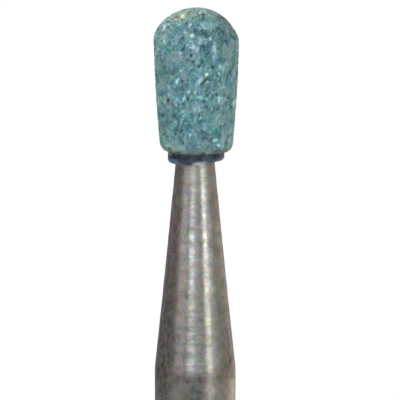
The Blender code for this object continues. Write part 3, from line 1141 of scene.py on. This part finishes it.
# Colours round the wall, by azimuth in degrees
UPPER_WALL = (
    (-180, (0.15, 0.155, 0.18)), (-140, (0.215, 0.20, 0.21)),
    (-80, (0.19, 0.165, 0.155)), (-68, (0.36, 0.34, 0.34)),
    (-30, (0.45, 0.44, 0.47)), (-5, (0.90, 0.98, 1.02)),
    (10, (0.80, 0.83, 0.85)), (20, (0.46, 0.47, 0.48)),
    (30, (0.41, 0.41, 0.41)), (52, (0.95, 1.05, 1.00)),
    (62, (0.84, 0.92, 0.94)), (72, (0.60, 0.62, 0.63)),
    (84, (0.42, 0.43, 0.41)), (100, (0.39, 0.38, 0.33)),
    (120, (0.41, 0.37, 0.30)), (134, (0.23, 0.21, 0.18)),
    (180, (0.18, 0.18, 0.19)),
)
LOWER_WALL = (
    (-180, (0.24, 0.24, 0.26)), (-160, (0.23, 0.225, 0.24)),
    (-146, (0.18, 0.175, 0.185)), (-90, (0.155, 0.155, 0.145)),
    (-70, (0.31, 0.275, 0.275)), (-45, (0.36, 0.36, 0.35)),
    (-28, (0.20, 0.19, 0.18)), (0, (0.11, 0.12, 0.125)),
    (20, (0.13, 0.13, 0.13)), (30, (0.50, 0.47, 0.44)),
    (43, (1.15, 1.08, 1.02)), (54, (0.48, 0.45, 0.43)),
    (80, (0.38, 0.34, 0.30)), (100, (0.42, 0.36, 0.29)),
    (120, (0.85, 0.73, 0.59)), (138, (1.06, 0.96, 0.84)),
    (156, (0.56, 0.51, 0.46)), (180, (0.45, 0.42, 0.40)),
)

FLOOR_RADIUS = 150 * MM
FLOOR_STEPS = 128
FLOOR_FADE = (0.2 * FLOOR_RADIUS, 0.85 * FLOOR_RADIUS)
FLOOR_COLOUR = (0.86, 0.86, 0.86)
FLOOR_ROUGHNESS = 0.8
FILL_LIGHT = 0.645


def make_camera():
    """A long lens at the photograph's height above the horizon."""
    lens = bpy.data.cameras.new("camera")
    lens.sensor_width = SENSOR_WIDTH
    lens.lens = lens.sensor_width * VIEW_DISTANCE / (PIXELS / PIXELS_PER_MM * MM)
    lens.clip_start, lens.clip_end = CLIP_RANGE
    camera = placed("camera", lens)
    way = Vector((0.0, -math.cos(VIEW_TILT), math.sin(VIEW_TILT)))
    camera.location = VIEW_TARGET + way * VIEW_DISTANCE
    camera.rotation_euler = (math.pi / 2 - VIEW_TILT, 0.0, 0.0)
    bpy.context.scene.camera = camera


def make_lamps():
    """A narrow key strip on the right, a window above the camera's left, and softer boxes."""
    for name, (azimuth, elevation, distance, width, height, power, colour) in LAMPS.items():
        lamp = bpy.data.lights.new(name, "AREA")
        lamp.shape = "RECTANGLE"
        lamp.size = width * MM
        lamp.size_y = height * MM
        lamp.energy = power
        lamp.color = colour
        holder = placed(name, lamp)
        turn, rise = math.radians(azimuth), math.radians(elevation)
        way = Vector((math.sin(turn) * math.cos(rise), -math.cos(turn) * math.cos(rise), math.sin(rise)))
        holder.location = VIEW_TARGET + way * (distance * MM)
        holder.rotation_mode = "QUATERNION"
        holder.rotation_quaternion = way.to_track_quat("Z", "Y")
        holder.visible_camera = False


def wall_mesh():
    """A round wall through its rows, open above and in the middle of the floor."""
    angles = ring_angles(WALL_STEPS)
    vertices = []
    for radius, height in WALL_ROWS:
        radius *= MM
        vertices.extend((radius * math.sin(a), -radius * math.cos(a), height * MM) for a in angles)
    faces = []
    for row in range(len(WALL_ROWS) - 1):
        near, far = row * WALL_STEPS, (row + 1) * WALL_STEPS
        for step in range(WALL_STEPS):
            beside = (step + 1) % WALL_STEPS
            faces.append((near + step, near + beside, far + beside, far + step))
    wall = bpy.data.meshes.new("studio_wall")
    wall.from_pydata(vertices, [], faces)
    return wall


def make_tent():
    """A round studio wall that only reflections see, dim in front and bright at the back right."""
    wall = wall_mesh()
    tent = placed("studio_wall", wall)
    made, tree = new_material("studio_wall")
    tree.nodes.clear()
    place = add_node(tree, "ShaderNodeTexCoord").outputs["Object"]
    facing = add_node(tree, "ShaderNodeMapping")
    facing.inputs["Rotation"].default_value = (0.0, 0.0, math.radians(90))
    gradient = add_node(tree, "ShaderNodeTexGradient", gradient_type="RADIAL")
    split = add_node(tree, "ShaderNodeSeparateXYZ")
    glow = add_node(tree, "ShaderNodeEmission")
    feed(tree, facing, {"Vector": place})
    feed(tree, gradient, {"Vector": facing.outputs["Vector"]})
    feed(tree, split, {0: place})
    lower, upper = (
        ramp(tree, gradient.outputs["Fac"], *[((azimuth + 180) / 360, shade) for azimuth, shade in shades])
        for shades in (LOWER_WALL, UPPER_WALL)
    )
    rise = spread(tree, split.outputs["Z"], *WALL_BLEND, 0.0, 1.0)
    feed(tree, glow, {"Color": mixed(tree, rise, lower, upper)})
    feed(tree, add_node(tree, "ShaderNodeOutputMaterial"), {"Surface": glow.outputs[0]})
    wall.materials.append(made)
    tent.visible_camera = False
    tent.visible_diffuse = False
    tent.visible_shadow = False


def sees_white(tree):
    """1 for camera, glossy and transmission rays, and 0 for those that light a surface."""
    path = add_node(tree, "ShaderNodeLightPath")
    either = computed(tree, "MAXIMUM", path.outputs["Is Camera Ray"], path.outputs["Is Glossy Ray"])
    return computed(tree, "MAXIMUM", either, path.outputs["Is Transmission Ray"])


def show_mix(tree, share, first, second, output):
    """Feeds the output node of this name with two shaders mixed by share."""
    mix = add_node(tree, "ShaderNodeMixShader")
    feed(tree, mix, {0: share, 1: first.outputs[0], 2: second.outputs[0]})
    feed(tree, tree.nodes[output], {"Surface": mix.outputs[0]})


def make_floor():
    """A pale round floor under the shank's end. To the camera it fades to white at its rim."""
    bpy.ops.mesh.primitive_circle_add(vertices=FLOOR_STEPS, radius=FLOOR_RADIUS, fill_type="NGON")
    floor = bpy.context.object
    floor.name = "floor"
    made, tree = new_material("pale_floor")
    shader = tree.nodes["Principled BSDF"]
    feed(tree, shader, {"Base Color": FLOOR_COLOUR, "Roughness": FLOOR_ROUGHNESS})
    place = add_node(tree, "ShaderNodeTexCoord")
    reach = add_node(tree, "ShaderNodeVectorMath", operation="LENGTH")
    feed(tree, reach, {0: place.outputs["Object"]})
    fade = spread(tree, reach.outputs["Value"], *FLOOR_FADE, 0.0, 1.0)
    shown = computed(tree, "MULTIPLY", fade, sees_white(tree))
    show_mix(tree, shown, shader, add_node(tree, "ShaderNodeEmission"), "Material Output")
    floor.data.materials.append(made)


def make_world():
    """Plain white to the camera and to reflections, and a soft fill for the rest."""
    world = bpy.data.worlds.new("studio")
    world.use_nodes = True
    tree = world.node_tree
    fill = tree.nodes["Background"]
    white = add_node(tree, "ShaderNodeBackground")
    feed(tree, fill, {"Color": WHITE, "Strength": FILL_LIGHT})
    feed(tree, white, {"Color": WHITE, "Strength": 1.0})
    show_mix(tree, sees_white(tree), fill, white, "World Output")
    bpy.context.scene.world = world


make_camera()
make_mandrel()
make_collar()
make_head()
make_lamps()
make_tent()
make_floor()
make_world()
bpy.context.scene.view_settings.view_transform = "Standard"
